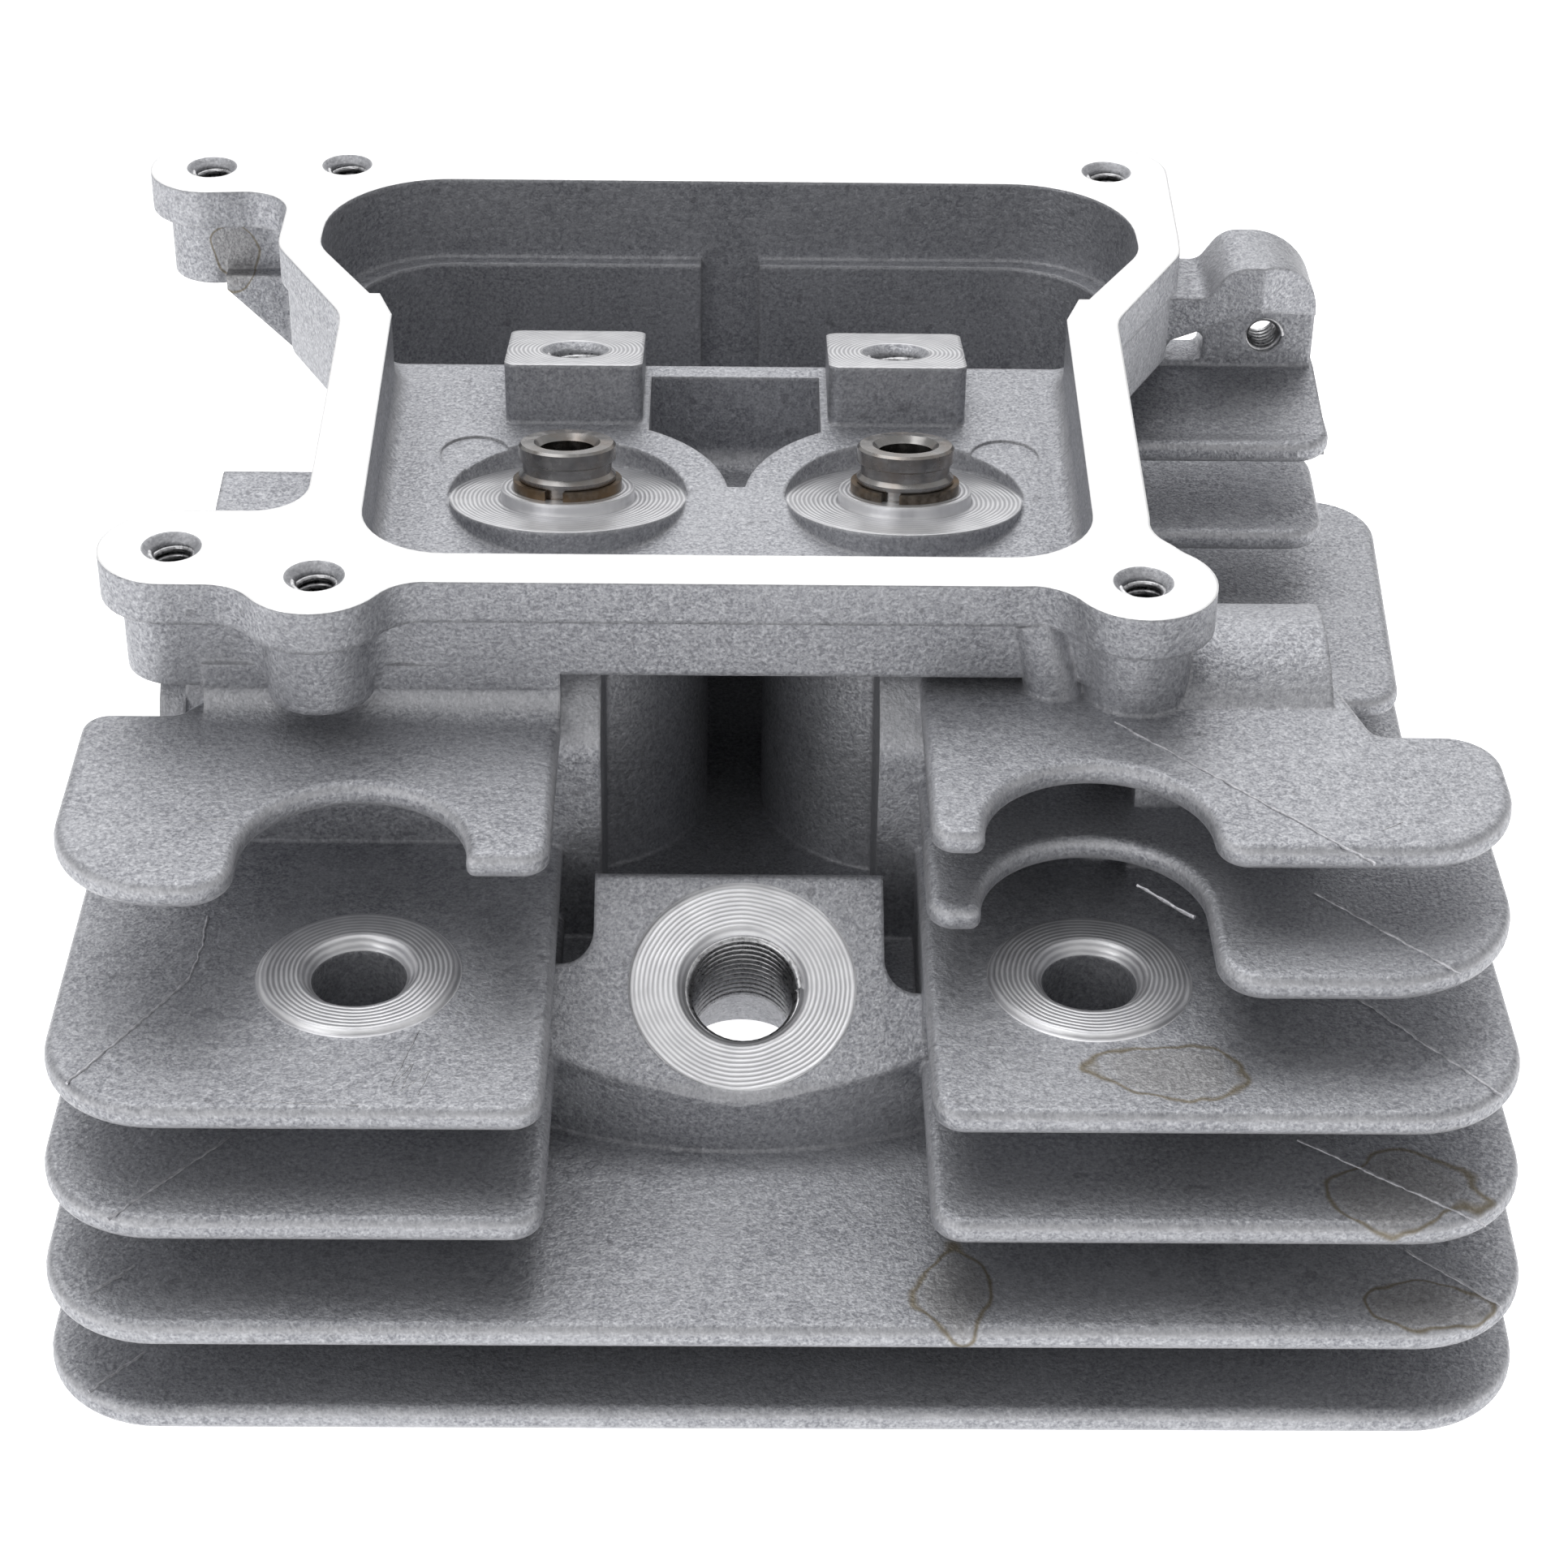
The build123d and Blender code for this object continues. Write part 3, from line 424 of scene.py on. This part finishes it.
# ---------- parting lines, flash and scratches left by the die
partingLines = {
    "width": 0.21,
    "lines": [
        ("left38", [(-68.8, -74.2, 38), (-63.5, -65.2, 38), (-58.4, -56.2, 38), (-57.7, -50, 38), (-57.9, -44.5, 38)]),
        ("left28", [(-63.9, -84.3, 28), (-58, -77, 28), (-52.7, -70.6, 28)]),
        ("left18", [(-66.6, -84.6, 18), (-62.5, -80.2, 18)]),
        ("left8", [(-67.0, -88.8, 8), (-61.9, -82.6, 8)]),
        ("right58", [(43.4, -34.1, 58), (55.9, -47.7, 58), (68.4, -61.3, 58)]),
        ("right48a", [(44.8, -51.2, 48), (50.4, -57.2, 48)]),
        ("right48b", [(64.1, -52.5, 48), (77.6, -67.1, 48)]),
        ("right38", [(59.5, -46.0, 38), (69.6, -59.0, 38), (81.8, -75.0, 38)]),
        ("right28", [(61.9, -70.4, 28), (79.7, -84.1, 28)]),
        ("right18", [(73.5, -76.6, 18), (82.4, -85.6, 18)]),
    ],
}
scratches = {
    "width": 0.07,
    "lines": [
        ("zigzag", [(-32.6, -64.9, 38), (-34.9, -74.4, 38), (-32.8, -70.5, 38), (-33.9, -75.5, 38), (-30.9, -71.5, 38),
                    (-32.0, -75.8, 38)]),
        ("stroke", [(-50, -77, 38), (-38, -77.6, 38)]),
        ("nick58", [(70, -55, 58), (72.5, -53.4, 58)]),
        ("nick48", [(-58, -50, 54.6), (-54, -49.4, 54.6)]),
        ("nick38", [(64, -68, 38), (64.6, -64.5, 38)]),
    ],
}


def makeRidge(name, points, width, wander, material, seed):
    # thin raised line lying on a face, slightly uneven like real flash
    rng = random.Random(seed)
    shape = bpy.data.curves.new(name, "CURVE")
    shape.dimensions = "3D"
    dense = []
    for start, end in zip(points, points[1:]):
        a, b = Vector(start), Vector(end)
        count = max(2, int((b - a).length / 0.7))
        dense += [a.lerp(b, i / count) for i in range(count)]
    dense.append(Vector(points[-1]))
    spline = shape.splines.new("POLY")
    spline.points.add(len(dense) - 1)
    for knot, point in zip(spline.points, dense):
        aside = Vector((rng.uniform(-1, 1), rng.uniform(-1, 1), 0)) * wander
        knot.co = (*((point + aside) * mm), 1)
        knot.radius = rng.uniform(0.5, 1.15)
    shape.bevel_depth = width * mm
    shape.bevel_resolution = 1
    shape.use_fill_caps = True
    ridge = bpy.data.objects.new(name, shape)
    bpy.context.scene.collection.objects.link(ridge)
    bpy.context.view_layer.update()
    solid = bpy.data.meshes.new_from_object(ridge)
    bpy.data.objects.remove(ridge)
    piece = bpy.data.objects.new(name, solid)
    bpy.context.scene.collection.objects.link(piece)
    solid.materials.clear()
    solid.materials.append(material)
    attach(piece, "root")
    return piece


for index, (name, points) in enumerate(partingLines["lines"]):
    makeRidge("partingLine_" + name, points, partingLines["width"], 0.12, flashAluminium, 10 + index)
for index, (name, points) in enumerate(scratches["lines"]):
    makeRidge("scratch_" + name, points, scratches["width"], 0.05, tappedAluminium, 40 + index)
print("parting lines drawn")

# ---------- floor, light and camera
studio = {
    "floorGlow": 0.92,
    "sky": 0.50,
    "softBox": 1.5,
    "boxTilt": 36.0,
}


def makeFloor():
    mesh = bpy.data.meshes.new("floor")
    form = bmesh.new()
    bmesh.ops.create_grid(form, x_segments=1, y_segments=1, size=6.0)
    form.to_mesh(mesh)
    form.free()
    floor = bpy.data.objects.new("floor", mesh)
    floor.location.z = -0.0004
    bpy.context.scene.collection.objects.link(floor)
    material, tree, shader = newTree("paleFloor")
    shader.inputs["Base Color"].default_value = (0.8, 0.8, 0.8, 1)
    shader.inputs["Roughness"].default_value = 0.9
    shader.inputs["Emission Color"].default_value = (1, 1, 1, 1)
    shader.inputs["Emission Strength"].default_value = studio["floorGlow"]
    mesh.materials.append(material)


def makeWorld():
    # an even grey room with one wide soft box behind and above the part
    world = bpy.data.worlds.new("studio")
    bpy.context.scene.world = world
    world.use_nodes = True
    tree = world.node_tree
    background = tree.nodes["Background"]
    place = tree.nodes.new("ShaderNodeTexCoord").outputs["Generated"]
    tilt = math.radians(studio["boxTilt"])
    facing = vectorCalc(tree, "DOT_PRODUCT", vectorCalc(tree, "NORMALIZE", place), (0, math.cos(tilt), math.sin(tilt)))
    box = ramp(tree, facing, math.cos(math.radians(42)), math.cos(math.radians(16)))
    ground = ramp(tree, vectorCalc(tree, "DOT_PRODUCT", place, (0, 0, 1)), 0.06, -0.02, 0.0, 1.2)
    strength = calc(tree, "ADD", studio["sky"], times(tree, box, studio["softBox"] - studio["sky"]))
    feed(tree, background.inputs["Strength"], calc(tree, "MAXIMUM", strength, ground))
    background.inputs["Color"].default_value = (1.0, 1.0, 1.0, 1)


def addSoftLight(name, place, target, size, power):
    light = bpy.data.lights.new(name, "AREA")
    light.shape = "RECTANGLE"
    light.size, light.size_y = size
    light.energy = power
    lamp = bpy.data.objects.new(name, light)
    bpy.context.scene.collection.objects.link(lamp)
    lamp.location = place
    lamp.rotation_euler = (Vector(target) - Vector(place)).to_track_quat("-Z", "Y").to_euler()


def makeCamera():
    lens = bpy.data.cameras.new("camera")
    lens.sensor_width = 36.0
    lens.lens = 80.41
    lens.clip_start = 0.01
    camera = bpy.data.objects.new("camera", lens)
    bpy.context.scene.collection.objects.link(camera)
    pitch, yaw, roll = math.radians(33.80), math.radians(1.052), math.radians(0.969)
    forward = Vector((math.sin(yaw) * math.cos(pitch), math.cos(yaw) * math.cos(pitch), -math.sin(pitch)))
    right = Vector((math.cos(yaw), -math.sin(yaw), 0))
    top = right.cross(forward)
    turnedRight = right * math.cos(roll) + top * math.sin(roll)
    turnedTop = top * math.cos(roll) - right * math.sin(roll)
    facing = Matrix((turnedRight, turnedTop, -forward)).transposed()
    camera.matrix_world = Matrix.Translation((0.0005, -0.362, 0.269)) @ facing.to_4x4()
    bpy.context.scene.camera = camera


makeFloor()
makeWorld()
addSoftLight("overheadPanel", (-0.15, 0.25, 0.9), (0, 0, 0.04), (0.9, 0.6), 3.0)
addSoftLight("leftPanel", (-0.7, -0.7, 0.55), (0, 0, 0.04), (0.5, 0.5), 2.0)
makeCamera()
view = bpy.context.scene.view_settings
view.view_transform = "Standard"
view.look = "None"
print("studio ready")
